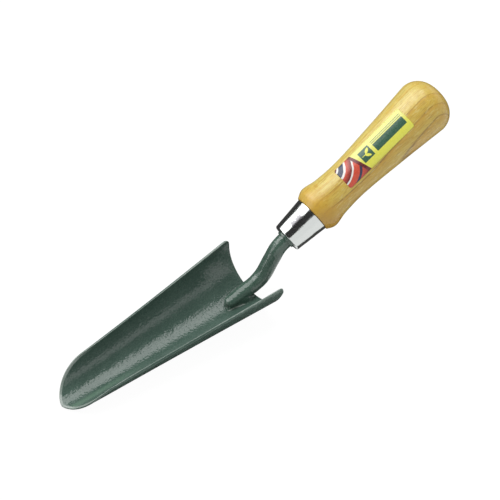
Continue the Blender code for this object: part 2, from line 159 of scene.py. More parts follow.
# The fillet of weld round it: its round front, the run of its toe, its crest and its lip
WELD_REAR = BLADE_LENGTH - 0.0014
WELD_END_LENGTH = 0.009
WELD_END_SHARE = 0.16
WELD_FRONT = 0.0032
WELD_UNDER_NECK = 0.0009
WELD_AHEAD = 0.0015
WELD_TOE = 0.0040
WELD_NEAR_TOE = 0.0014
WELD_LUMP = 0.00030
WELD_RIPPLE = 0.00008
WELD_RIPPLE_PITCH = 0.0017
WELD_LIP = 0.00050
WELD_LIP_WIDTH = 0.0013
WELD_LIP_END = 0.153
WELD_DEPTH = 0.0006

# The sticker's rounded corners, and how far its underside stands off the wood
LABEL_CORNER_RADIUS = 0.0012
LABEL_LIFT = 0.00004

AT_BLADE = Matrix.Translation((ROOT_X, 0, 0))
HANDLE_LEAN = pi / 2 - HANDLE_TILT
AT_HANDLE = Matrix.Translation(
    (BLADE_LENGTH + MOUTH_SETBACK + ROOT_X, 0, MOUTH_HEIGHT)
) @ Matrix.Rotation(HANDLE_LEAN, 4, "Y")


# ---- shape helpers


def filleted(corners, arc_step):
    """A 2D outline whose corners, given as (x, y, radius), are rounded by arcs."""
    points = [Vector(corner[:2]) for corner in corners]
    outline = [points[0]]
    for index in range(1, len(corners) - 1):
        before = (points[index - 1] - points[index]).normalized()
        after = (points[index + 1] - points[index]).normalized()
        turn = pi - before.angle(after)
        radius = corners[index][2]
        if not radius:
            outline.append(points[index])
            continue
        reach = radius * tan(turn / 2)
        centre = points[index] + (before + after).normalized() * radius / cos(turn / 2)
        start = points[index] + before * reach - centre
        side = (before - before.dot(start) / radius**2 * start).normalized()
        for angle in spread(0.0, turn, max(2, round(turn / arc_step))) + [turn]:
            outline.append(centre + start * cos(angle) - side * radius * sin(angle))
    outline.append(points[-1])
    return outline


def smooth_radius(stations, distance):
    """Radius at a distance on a smooth line through (distance, radius) stations."""
    spans = [
        (b[0] - a[0], (b[1] - a[1]) / (b[0] - a[0])) for a, b in zip(stations, stations[1:])
    ]
    slopes = [spans[0][1]]
    for (width_a, rise_a), (width_b, rise_b) in zip(spans, spans[1:]):
        if rise_a * rise_b <= 0:
            slopes.append(0.0)
        else:
            weight_a = (2 * width_b + width_a) / (width_a + width_b) / 3
            slopes.append(1 / (weight_a / rise_a + (1 - weight_a) / rise_b))
    slopes.append(spans[-1][1])
    index = sum(distance > place for place, _ in stations[1:-1])
    width = spans[index][0]
    u = (distance - stations[index][0]) / width
    return (
        (1 + 2 * u) * (1 - u) ** 2 * stations[index][1]
        + u * (1 - u) ** 2 * width * slopes[index]
        + u * u * (3 - 2 * u) * stations[index + 1][1]
        + u * u * (u - 1) * width * slopes[index + 1]
    )


def spread(start, end, steps):
    """Even places from the start on, without the end."""
    return [start + (end - start) * step / steps for step in range(steps)]


def smooth(value, low, high):
    """A smooth step from 0 at low to 1 at high."""
    share = max(0.0, min(1.0, (value - low) / (high - low)))
    return share * share * (3 - 2 * share)


def corner_cut(radius, reach):
    """What a rounded corner takes away at a distance from its end."""
    left = max(0.0, radius - reach)
    return radius - sqrt(max(0.0, radius**2 - left**2))


def bridge(body, first, second, closed=True):
    """Faces between two rows of corners, some of which may coincide."""
    for index in range(0 if closed else 1, len(first)):
        corners = [first[index - 1], first[index], second[index], second[index - 1]]
        body.faces.new(list(dict.fromkeys(corners)))


def add_to_scene(name, data):
    made = bpy.data.objects.new(name, data)
    bpy.context.scene.collection.objects.link(made)
    return made


def new_piece(name, body, material, node, matrix, sharp=None):
    """A visual piece that stands for a node; a closed one has an angle for its sharp edges."""
    if sharp:
        bmesh.ops.recalc_face_normals(body, faces=body.faces)
    mesh = bpy.data.meshes.new(name)
    body.to_mesh(mesh)
    body.free()
    mesh.shade_smooth()
    if sharp:
        mesh.set_sharp_from_angle(angle=sharp)
    mesh.materials.append(material)
    mesh.transform(matrix)
    piece = add_to_scene(name, mesh)
    bpy.context.view_layer.update()
    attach(piece, "root")
    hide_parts(node)
    return piece


def turned_body(profile, closed, relief=None):
    """A turned solid from a profile of (radius, height) points."""
    body = bmesh.new()
    rows = []
    for radius, height in profile:
        if radius < 1e-6:
            rows.append([body.verts.new((0, 0, height))] * TURNED_STEPS)
            continue
        row = []
        for angle in spread(0.0, 2 * pi, TURNED_STEPS):
            reach = radius
            if relief:
                reach += relief(Vector((radius * cos(angle), radius * sin(angle), height)))
            row.append(body.verts.new((reach * cos(angle), reach * sin(angle), height)))
        rows.append(row)
    for lower, upper in zip(rows, rows[1:] + rows[:1] if closed else rows[1:]):
        bridge(body, lower, upper)
    return body


# ---- node helper


class Tree:
    """Builds the node tree of a material or a world; sockets and plain numbers mix freely."""

    def __init__(self, owner, shader="Principled BSDF"):
        owner.use_nodes = True
        self.owner = owner
        self.nodes, self.links = owner.node_tree.nodes, owner.node_tree.links
        self.shader = self.nodes[shader]

    def feed(self, socket, value):
        if isinstance(value, bpy.types.NodeSocket):
            self.links.new(value, socket)
        elif socket.type == "RGBA":
            socket.default_value = (*value, 1.0)
        else:
            socket.default_value = value

    def set(self, **inputs):
        for key, value in inputs.items():
            self.feed(self.shader.inputs[key.replace("_", " ")], value)

    def node(self, kind, inputs=(), **settings):
        """Outputs of a new node, fed in order or, from a dict, by its inputs' names or numbers."""
        made = self.nodes.new(kind)
        for key, value in settings.items():
            setattr(made, key, value)
        for key, value in inputs.items() if isinstance(inputs, dict) else enumerate(inputs):
            self.feed(made.inputs[key], value)
        return made.outputs

    def math(self, operation, *values, clamp=False):
        return self.node("ShaderNodeMath", values, operation=operation, use_clamp=clamp)[0]

    def all(self, operation, values):
        return reduce(lambda total, value: self.math(operation, total, value), values)

    def add(self, *values):
        return self.all("ADD", values)

    def mul(self, *values):
        return self.all("MULTIPLY", values)

    def top(self, *values):
        return self.all("MAXIMUM", values)

    def sub(self, a, b):
        return self.math("SUBTRACT", a, b)

    def length(self, a, b):
        return self.math("SQRT", self.add(self.mul(a, a), self.mul(b, b)))

    def ease(self, value, low, high, to_low=0.0, to_high=1.0):
        """A smooth step of a value from one range to another."""
        inputs = (value, low, high, to_low, to_high)
        return self.node("ShaderNodeMapRange", inputs, interpolation_type="SMOOTHSTEP")[0]

    def fade(self, value, low, high):
        """A smooth step from 1 down to 0."""
        return self.ease(value, low, high, 1.0, 0.0)

    def between(self, value, start, full, last, end):
        """Rises from 0 to 1 between start and full, and falls between last and end."""
        return self.mul(self.ease(value, start, full), self.fade(value, last, end))

    def mix(self, factor, a, b):
        """A colour between two; the mix node's inputs 6 and 7 are its colours."""
        inputs = {"Factor": factor, 6: a, 7: b}
        return self.node("ShaderNodeMix", inputs, data_type="RGBA")[2]

    def parts(self, vector):
        return self.node("ShaderNodeSeparateXYZ", (vector,))

    def normal(self):
        return self.parts(self.node("ShaderNodeNewGeometry")["Normal"])

    def place(self, turned=False):
        """The point in the piece's own space, and its three parts."""
        point = self.node("ShaderNodeTexCoord")["Object"]
        if turned:
            inputs = (point, AT_HANDLE.translation, (0, HANDLE_LEAN, 0))
            point = self.node("ShaderNodeMapping", inputs, vector_type="TEXTURE")[0]
        return point, *self.parts(point)

    def join(self, *parts):
        return self.node("ShaderNodeCombineXYZ", parts)[0]

    def stretch(self, point, scale, offset=(0, 0, 0)):
        inputs = {"Vector": point, "Location": offset, "Scale": scale}
        return self.node("ShaderNodeMapping", inputs)[0]

    def grain(self, point, scale, detail=2.0, roughness=0.5):
        inputs = {"Vector": point, "Scale": scale, "Detail": detail, "Roughness": roughness}
        return self.node("ShaderNodeTexNoise", inputs)["Fac"]

    def ramp(self, factor, stops):
        made = self.node("ShaderNodeValToRGB", (factor,))[0]
        elements = made.node.color_ramp.elements
        while len(elements) < len(stops):
            elements.new(1.0)
        for element, (position, colour) in zip(elements, stops):
            element.position = position
            element.color = (*colour, 1.0)
        return made

    def bump(self, height, distance, normal=None):
        inputs = {"Strength": 1.0, "Distance": distance, "Height": height}
        if normal:
            inputs["Normal"] = normal
        return self.node("ShaderNodeBump", inputs)["Normal"]

    def seen(self):
        """1 for camera, glossy and transmission rays, 0 for the rays that carry light."""
        path = self.node("ShaderNodeLightPath")
        return self.top(*(path[f"Is {ray} Ray"] for ray in ("Camera", "Glossy", "Transmission")))


def new_tree(name):
    return Tree(bpy.data.materials.new(name))


# ---- enamel

# pale green for painted highlights on the nose's edge, inside the rims and along the weld's toe
PAINTED_HIGHLIGHT_ENAMEL = (0.275, 0.325, 0.292)
# lighter green painted on the near wall behind the nose, standing in for light on it
PAINTED_LIGHT_GREEN = (0.098, 0.170, 0.124)

# Where the enamel's painted light rises and falls, each along the blade and: the painted highlight
# on the nose's edge by its share of the way out, the painted highlight line inside each rim by its
# distance from the edge, the lighter near wall by Y, the painted highlight on the weld's toe by
# its height and by Y
NOSE_FACE_SHARE = (0.885, 0.905)
NOSE_FACE_FADE = (0.024, 0.044)
NOSE_FACE_STRENGTH = 0.80
NOSE_CENTRE_LIFT = 0.0003
RIM_LINE = (0.0001, 0.0002, 0.0009, 0.0011)
RIM_LINE_START = (NOSE_LENGTH - 0.004, NOSE_LENGTH + 0.004)
FLANK_BAND = (-0.0098, -0.0072, -0.0062, -0.0030)
FLANK_FADE = (0.0176234, 0.0776234)
TOE_BAND = (0.00012, 0.00030, 0.00070, 0.00095)
TOE_SIDE = (-0.0047, -0.0041)
TOE_FADE = (0.148, 0.151)


def tapering(tree, along, nose, rear):
    """A measure of the trough that changes evenly from the nose to the rear."""
    return tree.math("MULTIPLY_ADD", along, (rear - nose) / BLADE_LENGTH, nose)


def nose_and_rim_highlights(tree, along, y, z):
    """Painted highlights on the upper side of the nose's edge, and in a fine line inside each rim.
    """
    radius = tapering(tree, along, BLADE_NOSE_RADIUS, BLADE_REAR_RADIUS)
    centre = tree.add(radius, BLADE_SHEET + NOSE_CENTRE_LIFT)
    angle = tree.math("ARCTAN2", tree.math("ABSOLUTE", y), tree.sub(centre, z))
    ahead = tree.top(tree.mul(tree.sub(NOSE_LENGTH, along), 1 / NOSE_LENGTH), 0.0)
    round_share = tree.math("POWER", ahead, NOSE_ROUNDNESS)
    side_share = tree.math("POWER", tree.mul(angle, 1 / BLADE_NOSE_WRAP), NOSE_SHOULDER)
    _, aside, up = tree.normal()
    nose = tree.mul(
        tree.ease(tree.add(round_share, side_share), *NOSE_FACE_SHARE),
        tree.fade(along, *NOSE_FACE_FADE),
        tree.ease(up, 0.05, 0.30),
        tree.top(tree.ease(y, -0.003, 0.003), tree.ease(aside, -0.25, 0.0)),
    )
    wrap = tapering(tree, along, BLADE_NOSE_WRAP, BLADE_REAR_WRAP)
    rim = tree.mul(
        tree.between(tree.mul(tree.sub(wrap, angle), radius), *RIM_LINE),
        tree.ease(along, *RIM_LINE_START),
        tree.ease(aside, -0.2, 0.2, 0.35, 1.0),
    )
    return tree.top(tree.mul(nose, NOSE_FACE_STRENGTH), rim)


def painted_flank_light(tree, along, y, z):
    """Painted light: a lighter green on the near wall of the trough behind the nose, on its inner
    face.
    """
    return tree.mul(
        tree.between(y, *FLANK_BAND),
        tree.fade(along, *FLANK_FADE),
        tree.ease(tree.normal()[2], 0.2, 0.5),
    )


def weld_toe_highlight(tree, along, y, z):
    """A painted highlight along the low ridge at the weld's toe on the -Y side."""
    radius = tapering(tree, along, BLADE_NOSE_RADIUS, BLADE_REAR_RADIUS)
    sag = tree.mul(tree.mul(y, y), tree.math("DIVIDE", 0.5, radius))
    above = tree.sub(z, tree.add(sag, BLADE_SHEET))
    return tree.mul(
        tree.between(above, *TOE_BAND),
        tree.fade(y, *TOE_SIDE),
        tree.fade(along, *TOE_FADE),
    )


def enamel(name, deep, light, patches=()):
    """Hammered enamel: a hard gloss over shallow pebbles one or two millimetres across. Each
    patch of painted light has a mask, a strength, a colour and an added dullness."""
    tree = new_tree(name)
    point, x, y, z = tree.place()
    along = tree.sub(x, ROOT_X)
    inputs = {"Vector": point, "Scale": 700.0, "Smoothness": 0.6}
    pebbles = tree.node("ShaderNodeTexVoronoi", inputs, feature="SMOOTH_F1")["Distance"]
    peel = tree.grain(point, 700.0, 1.0)
    fine = tree.grain(point, 1100.0, 1.0)
    cloud = tree.grain(point, 60.0, 3.0, 0.6)
    tone = tree.ease(tree.add(cloud, tree.mul(tree.sub(fine, 0.5), 1.2)), 0.30, 0.70)
    colour = tree.mix(tone, deep, light)
    gloss = tree.ease(fine, 0.3, 0.7, 0.04, 0.07)
    for mask, strength, tint, dullness in patches:
        share = mask(tree, along, y, z)
        colour = tree.mix(tree.mul(share, strength), colour, tint)
        gloss = tree.add(gloss, tree.mul(share, dullness))
    swell = tree.bump(tree.grain(point, 180.0, 1.0), 0.00010)
    relief = tree.bump(tree.add(tree.mul(pebbles, 0.5), peel), 0.00016, swell)
    tree.set(Base_Color=colour, Roughness=gloss, IOR=1.6, Normal=tree.bump(fine, 0.00009, relief))
    return tree.owner


# ---- chrome

PLATE_DULL = (0.62, 0.65, 0.63)
PLATE_BRIGHT = (0.69, 0.71, 0.70)
# painted dark reflection: a patch of darker plate standing in for a dark stripe reflected in the
# chrome
DARK_REFLECTION_PLATE = (0.13, 0.125, 0.135)
DARK_REFLECTION_SIDE = (-0.42, -0.30)
DARK_REFLECTION_LENGTH = (0.0070, 0.0085, 0.0165, 0.0195)


def chrome():
    """Bright plating over drawn steel: faint drawing marks, a long shallow wave and a patch of
    painted dark reflection, a little rougher, with short marks across it."""
    tree = new_tree("chrome_plate")
    point, x, y, z = tree.place(turned=True)
    turn = tree.math("ARCTAN2", y, tree.mul(x, -1.0))
    draw = tree.grain(tree.join(tree.mul(turn, 42.0), 0.0, tree.mul(z, 90.0)), 1.0, 3.0, 0.6)
    wave = tree.grain(point, 120.0, 1.0, 0.4)
    plate = tree.mix(tree.grain(point, 900.0, 2.0, 0.6), PLATE_DULL, PLATE_BRIGHT)
    marks = tree.grain(tree.join(tree.mul(turn, 1.6), 5.0, tree.mul(z, 700.0)), 1.0, 2.0, 0.7)
    ragged_side = tree.add(tree.mul(tree.sub(marks, 0.5), 0.75), -0.02)
    # painted dark reflection, with a ragged side
    dark_reflection = tree.mul(
        tree.fade(tree.sub(turn, ragged_side), 0.0, 0.06),
        tree.ease(turn, *DARK_REFLECTION_SIDE),
        tree.between(z, *DARK_REFLECTION_LENGTH),
    )
    gloss = tree.add(tree.ease(draw, 0.35, 0.7, 0.05, 0.10), tree.mul(dark_reflection, 0.12))
    tree.set(Base_Color=tree.mix(tree.mul(dark_reflection, 0.92), plate, DARK_REFLECTION_PLATE))
    tree.set(Metallic=1.0, Roughness=gloss)
    tree.set(Normal=tree.bump(wave, 0.00025, tree.bump(draw, 0.00003)))
    return tree.owner


# ---- wood

PALE_WOOD = (0.69, 0.570, 0.142)
CREAM_WOOD = (0.69, 0.585, 0.180)
GOLD_WOOD = (0.67, 0.435, 0.056)
AMBER_WOOD = (0.52, 0.285, 0.034)
LATE_WOOD = (0.24, 0.125, 0.026)
TAN_WOOD = (0.76, 0.63, 0.24)
WARM_WOOD = (0.61, 0.36, 0.052)
# warm tone near the ferrule; laid on more strongly on the -Y side, it is partly painted shade
NEAR_FERRULE_TONE_AND_SHADE = (0.63, 0.375, 0.032)

# The heart of the wood lies off the handle's axis, in X and Y, and growth layers bend round it.
# Each layer's edge has a place in millimetres from the axis and a strength.
HEART = (-0.012, 0.090)
GROWTH_LAYERS = [
    (-18.2, 0.55), (-12.8, 0.50), (-6.6, 0.42), (-0.6, 0.35),
    (5.3, 0.85), (12.3, 1.0), (17.2, 0.95),
]

# Marks in the wood: how their noise is stretched, moved and detailed, the values between
# which they come up, their strength and colour
FIBRE = ((1300.0, 1300.0, 60.0), (0, 0, 0), (3.0, 0.62))
WOOD_MARKS = [
    ((330.0, 330.0, 7.0), (0.3, 2.9, 1.2), (2.0, 0.5), (0.42, 0.72), 0.42, GOLD_WOOD),
    (*FIBRE, (0.47, 0.70), 0.66, AMBER_WOOD),
    ((70.0, 70.0, 120.0), (1.3, 0.9, 2.2), (3.0, 0.6), (0.45, 0.75), 0.32, GOLD_WOOD),
    ((1500.0, 1500.0, 110.0), (2.2, 0.4, 1.6), (2.0, 0.6), (0.55, 0.68), 0.34, LATE_WOOD),
    ((900.0, 900.0, 150.0), (0.9, 1.1, 3.3), (2.0, 0.6), (0.54, 0.68), 0.60, TAN_WOOD),
]


def growth_stops():
    """Colours across the growth layers: each edge is a dark line with one soft side."""
    pale = Vector(PALE_WOOD)
    plain = pale.lerp(GOLD_WOOD, 0.5)
    stops = [(0.0, CREAM_WOOD)]
    for edge, strength in GROWTH_LAYERS:
        at = 0.5 + edge * 0.02
        warm = pale.lerp(WARM_WOOD, strength)
        dark = (at, pale.lerp(LATE_WOOD, strength))
        if edge < 0:
            stops += [(at - 0.034, pale), (at - 0.009, warm), dark, (at + 0.005, CREAM_WOOD)]
        else:
            stops += [(at - 0.007, plain), dark, (at + 0.008, warm), (at + 0.062, plain)]
    return stops


def lacquered_wood():
    """Pale hardwood under clear lacquer: the turned surface cuts growth layers into lines."""
    tree = new_tree("lacquered_wood")
    point, x, y, z = tree.place(turned=True)

    def noise_in(scale, offset=(0, 0, 0), texture=(2.0, 0.5)):
        return tree.grain(tree.stretch(point, scale, offset), 1.0, *texture)

    drift = noise_in((22.0, 22.0, 9.0))
    shiver = noise_in((160.0, 160.0, 40.0), (3.1, 1.7, 0.4))
    depth = tree.add(
        tree.sub(tree.length(tree.sub(y, HEART[1]), tree.sub(x, HEART[0])), HEART[1]),
        tree.mul(tree.sub(drift, 0.5), 0.0040),
        tree.mul(tree.sub(shiver, 0.5), 0.0006),
    )
    base = tree.ramp(tree.math("MULTIPLY_ADD", depth, 20.0, 0.5, clamp=True), growth_stops())
    rings = tree.grain(tree.join(tree.mul(depth, 560.0), 0.0, tree.mul(z, 9.0)), 1.0, 3.0, 0.62)
    base = tree.mix(tree.ease(rings, 0.50, 0.68, 0.0, 0.34), base, AMBER_WOOD)
    for scale, offset, texture, values, strength, colour in WOOD_MARKS:
        mark = tree.ease(noise_in(scale, offset, texture), *values, 0.0, strength)
        base = tree.mix(mark, base, colour)
    near_ferrule = tree.fade(z, SHOULDER + 0.0010, SHOULDER + 0.0210)
    # near the ferrule the wood is warmer: partly its own tone, partly painted shade, strongest on
    # the -Y side away from the key and weakest on the +Y side, which stays paler as painted light
    warmth_and_shade = tree.mul(
        near_ferrule,
        tree.ease(y, -0.006, 0.010, 0.95, 0.62),
        tree.ease(y, 0.0095, 0.0135, 1.0, 0.45),
    )
    base = tree.mix(warmth_and_shade, base, NEAR_FERRULE_TONE_AND_SHADE)
    # painted shade: amber darkening on the -Y side near the ferrule, away from the key
    shaded = tree.mul(near_ferrule, tree.ease(y, -0.014, -0.006, 0.62, 0.0))
    base = tree.mix(shaded, base, AMBER_WOOD)
    mottle = noise_in((420.0, 420.0, 300.0), (0.7, 1.9, 0.2), (2.0, 0.6))
    patchy = tree.ease(z, SHOULDER + 0.0120, SHOULDER + 0.0300, 0.55, 0.16)
    base = tree.mix(tree.mul(patchy, tree.ease(mottle, 0.50, 0.70)), base, AMBER_WOOD)
    butt = tree.ease(z, SHOULDER + 0.1020, SHOULDER + 0.1190, 0.0, 0.45)
    fibre = noise_in(*FIBRE)
    tree.set(Base_Color=tree.mix(butt, base, GOLD_WOOD))
    tree.set(Roughness=tree.ease(fibre, 0.3, 0.8, 0.36, 0.48), Specular_IOR_Level=0.4)
    tree.set(Coat_Weight=0.5, Coat_Roughness=0.22)
    tree.set(Normal=tree.bump(fibre, 0.00006))
    tree.set(Coat_Normal=tree.bump(tree.grain(point, 210.0), 0.00015))
    return tree.owner


# ---- label print

YELLOW = (0.815, 0.805, 0.10)
# a paler yellow painted towards the +Y side, where the key falls: painted light
PAINTED_LIGHT_YELLOW = (0.76, 0.75, 0.205)
BOTTLE_GREEN = (0.040, 0.118, 0.072)
MAROON = (0.150, 0.020, 0.026)
RED = (0.66, 0.085, 0.045)
NAVY = (0.030, 0.042, 0.090)
WHITE = (0.82, 0.80, 0.76)

# The print in millimetres: from and to along the label, from the handle's shoulder, and from
# and to across it, from its middle line
TO_MM = 1000.0
PRINT_SOFTNESS = 0.10
LEAF_SQUARE = (48.6, 57.8, -3.4, 5.2)
GREEN_PANEL = (60.4, 87.8, -3.4, 2.6)
RULES = [(60.4, 87.8, 3.5, 3.9), (60.4, 87.8, 4.8, 5.2)]
STEM = (49.7, 53.1, 0.68, 1.12)
LEAVES = [((52.7, 0.9), (56.8, 3.9)), ((52.1, 0.9), (55.9, -2.2))]
LEAF_WIDTH = 1.0
LEAF_SOFTNESS = 0.08
BANDS_CENTRE = (27.0, 12.0)
BANDS_REACH = 30.0
BANDS = [
    (0.0, MAROON), (0.20, MAROON), (0.205, WHITE), (0.245, WHITE), (0.25, NAVY), (0.37, NAVY),
    (0.375, WHITE), (0.42, WHITE), (0.425, RED), (0.56, MAROON), (0.565, WHITE), (0.60, WHITE),
    (0.605, RED), (0.74, RED), (0.745, NAVY), (0.80, NAVY), (0.805, RED), (1.0, MAROON),
]


def printed_label():
    """The label's print: on yellow a leaf in a green square and a plain green panel with two
    rules beside it and, below, curved coloured bands."""
    tree = new_tree("label_print")
    point, x, y, z = tree.place(turned=True)
    along = tree.mul(tree.sub(z, SHOULDER), TO_MM)
    turn = tree.math("ARCTAN2", y, tree.mul(x, -1.0))
    across = tree.mul(tree.sub(turn, LABEL_TURN), tree.length(x, y), TO_MM)

    def inside(value, low, high):
        edges = (edge + side for edge in (low, high) for side in (-PRINT_SOFTNESS, PRINT_SOFTNESS))
        return tree.between(value, *edges)

    def box(first, last, right, left):
        return tree.mul(inside(along, first, last), inside(across, right, left))

    def from_point(place_along, place_across):
        return tree.length(tree.sub(along, place_along), tree.sub(across, place_across))

    def leaf(start, end):
        """A leaf between two points: where two round discs overlap."""
        middle, half = (Vector(start) + Vector(end)) / 2, (Vector(end) - Vector(start)) / 2
        disc = (half.length_squared + LEAF_WIDTH**2) / (2 * LEAF_WIDTH)
        off = half.orthogonal().normalized() * (disc - LEAF_WIDTH)
        away = [from_point(*(middle + side)) for side in (off, -off)]
        return tree.mul(*(tree.fade(a, disc - LEAF_SOFTNESS, disc + LEAF_SOFTNESS) for a in away))

    # painted light: the yellow turns paler across the label towards the +Y side
    colour = tree.mix(tree.ease(across, -5.0, 6.0), YELLOW, PAINTED_LIGHT_YELLOW)
    for area in (LEAF_SQUARE, GREEN_PANEL, *RULES):
        colour = tree.mix(box(*area), colour, BOTTLE_GREEN)
    sprout = tree.top(*(leaf(*ends) for ends in LEAVES), box(*STEM))
    colour = tree.mix(sprout, colour, YELLOW)
    wobble = tree.mul(tree.sub(tree.grain(point, 160.0, 1.0), 0.5), 1.2)
    away = tree.add(from_point(*BANDS_CENTRE), wobble)
    bands = tree.ramp(tree.math("MULTIPLY_ADD", away, 1 / BANDS_REACH, 0.0, clamp=True), BANDS)
    slanting = tree.math("MULTIPLY_ADD", across, -0.30, 46.6)
    beyond = tree.sub(along, slanting)
    bands = tree.mix(tree.ease(beyond, -2.9, -1.9), bands, MAROON)
    colour = tree.mix(tree.fade(beyond, -0.12, 0.12), colour, bands)
    fleck = tree.ease(tree.grain(point, 2600.0, 1.0), 0.45, 0.80, 0.0, 0.10)
    ripple = tree.grain(tree.stretch(point, (1.0, 1.0, 0.35)), 170.0)
    tree.set(Base_Color=tree.mix(fleck, colour, WHITE))
    tree.set(Roughness=tree.ease(tree.grain(point, 420.0), 0.3, 0.7, 0.24, 0.32), IOR=1.48)
    tree.set(Normal=tree.bump(ripple, 0.00025))
    return tree.owner


# ---- blade


def blade_radius(x):
    share = x / BLADE_LENGTH
    cone = BLADE_NOSE_RADIUS + (BLADE_REAR_RADIUS - BLADE_NOSE_RADIUS) * share
    return cone - BLADE_WAISTING * 4 * share * (1 - share)


def blade_wrap(x):
    return BLADE_NOSE_WRAP + (BLADE_REAR_WRAP - BLADE_NOSE_WRAP) * x / BLADE_LENGTH


def blade_point(x, angle, depth):
    """Point of the trough at a depth below its inner face."""
    radius = blade_radius(x)
    lift = NOSE_LIFT * max(0.0, 1 - x / NOSE_LIFT_LENGTH) ** 2
    height = lift + BLADE_SHEET + radius - (radius + depth) * cos(angle)
    return Vector((x, (radius + depth) * sin(angle), height))


def trough_height(place):
    """Height of the trough's inner face under a place near the bottom line."""
    radius = blade_radius(place.x)
    return BLADE_SHEET + radius - sqrt(radius**2 - place.y**2)


def blade_rear(share, side):
    """Where the blade ends at a share of the way up a side: a horn with a rounded corner."""
    arc = blade_radius(BLADE_LENGTH) * BLADE_REAR_WRAP * (1 - share)
    return BLADE_LENGTH + REAR_HORNS[side] * share**3 - corner_cut(REAR_CORNER_RADIUS, arc)


def blade_shares():
    """The net's lines as shares of the way up a side, closer in the corner."""
    corner = REAR_CORNER_RADIUS / (blade_radius(BLADE_LENGTH) * BLADE_REAR_WRAP)
    turns = spread(0.0, pi / 2, BLADE_CORNER_STEPS)
    shares = spread(0.0, 1 - corner, BLADE_WRAP_STEPS)
    return shares + [1 - corner * (1 - sin(turn)) for turn in turns] + [1.0]


def blade_angle(x, share, short):
    """Angle at a share of the way up to the rim, short of it by a distance."""
    return share * (blade_wrap(x) - short / blade_radius(x))


def blade_line(share, short):
    """One line of the net as (x, angle), up one side, round the nose and back. The outermost
    stays short of the true edge."""
    sides = {}
    for side in (-1, 1):
        rear = blade_rear(share, side) - short
        places = spread(rear, NOSE_LENGTH, BLADE_LENGTH_STEPS)
        sides[side] = [(x, side * blade_angle(x, share, short)) for x in places]
    nose = []
    for turn in spread(-pi / 2, pi / 2, BLADE_NOSE_STEPS) + [pi / 2]:
        reach = share * max(0.0, cos(turn)) ** (2 / NOSE_ROUNDNESS)
        x = NOSE_LENGTH - reach * (NOSE_LENGTH - short)
        lift = abs(sin(turn)) ** (2 / NOSE_SHOULDER) * (1 if turn > 0 else -1)
        nose.append((x, lift * blade_angle(x, share, short)))
    return sides[-1] + nose + sides[1][::-1]


def ground_depth(x, share):
    """How far the inner face is ground down near the nose's edge."""
    fade = max(0.0, min(1.0, (GRIND_END - x) / GRIND_FADE))
    return GRIND_DEPTH * fade * max(0.0, 1 - (1 - share) * GRIND_SPAN / GRIND_WIDTH)


def make_blade(material):
    """The trough: both faces on one net of nested lines, and a rounded edge between them."""
    body = bmesh.new()
    shares = blade_shares()
    rims = []
    for depth, short in ((0.0, EDGE_BULGE), (BLADE_SHEET, EDGE_BULGE + EDGE_LEAN)):
        made = []
        for share in shares:
            points = []
            line = blade_line(share, short)
            for index, (x, angle) in enumerate(line):
                if share == 0 and index > BLADE_LENGTH_STEPS:
                    points.append(points[min(BLADE_LENGTH_STEPS, len(line) - 1 - index)])
                    continue
                cut = 0.0 if depth else ground_depth(x, share)
                points.append(body.verts.new(blade_point(x, angle, depth + cut)))
            made.append(points)
        for lower, upper in zip(made, made[1:]):
            bridge(body, lower, upper, closed=False)
        ends = [line[-1] for line in made[-2:0:-1]] + [line[0] for line in made[:-1]]
        rims.append(made[-1] + ends)
    edge = []
    for index, (top, bottom) in enumerate(zip(*rims)):
        along = rims[0][(index + 1) % len(rims[0])].co - rims[0][index - 1].co
        half = (top.co - bottom.co) / 2
        out = half.cross(along).normalized()
        strip = [top]
        for angle in spread(0.0, pi, EDGE_STEPS)[1:]:
            level = abs(cos(angle)) ** EDGE_SQUARENESS * (1 if angle < pi / 2 else -1)
            reach = sin(angle) ** EDGE_SQUARENESS * EDGE_BULGE
            place = (top.co + bottom.co) / 2 + half * level + out * reach
            place.z = max(0.0, place.z)
            strip.append(body.verts.new(place))
        edge.append(strip + [bottom])
    for first, second in zip(edge, edge[1:] + edge[:1]):
        bridge(body, first, second, closed=False)
    new_piece("blade_look", body, material, "blade", AT_BLADE, FORMED_SHARP)


# ---- neck and weld

NECK_START = BLADE_LENGTH - NECK_SEAT_LENGTH - TIP_AHEAD


def seat_taper(distance):
    """Radius of the neck near its seated end, without its rounding."""
    left = max(0.0, 1 - distance / TIP_TAPER_LENGTH)
    return NECK_RADIUS - (NECK_RADIUS - TIP_RADIUS) * left**1.5


def seat_radius(distance):
    """Radius of the neck near its seated end, rounded off like a finger."""
    radius = seat_taper(distance)
    if distance < TIP_LENGTH:
        radius *= sqrt(max(0.0, 1 - (1 - distance / TIP_LENGTH) ** 2))
    return radius


def tip_flat(distance):
    """1 at the seated end, fading to 0 where the neck is round again."""
    return 1 - smooth(distance, 0.0, TIP_FLAT_LENGTH)


def neck_centreline():
    """The bar's line as (x, z), and the distance along it to the ferrule's mouth."""
    along = Vector((cos(HANDLE_TILT), sin(HANDLE_TILT)))
    seat_height = BLADE_SHEET + SEAT_GAP + NECK_RADIUS
    mouth = Vector((BLADE_LENGTH + MOUTH_SETBACK, MOUTH_HEIGHT))
    tip = mouth + along * (COLLAR_THICKNESS - COLLAR_PROUD + TANG_LENGTH)
    corners = [
        (NECK_START, seat_height, 0),
        (BLADE_LENGTH + NECK_CRANK_SETBACK, seat_height, NECK_LOWER_BEND),
        (*(mouth - along * NECK_UPPER_STRAIGHT), NECK_UPPER_BEND),
        (*tip, 0),
    ]
    line = filleted(corners, NECK_ARC_STEP)
    length = sum((b - a).length for a, b in zip(line, line[1:]))
    return line, length - (tip - mouth).length


def along_line(line, distance):
    for start, end in zip(line, line[1:]):
        span = (end - start).length
        if distance <= span:
            return start + (end - start) * distance / span
        distance -= span
    return line[-1]


def forged(place):
    """A smith's slight unevenness."""
    return 0.00013 * noise.noise(place * 130.0) + 0.00006 * noise.noise(place * 330.0)


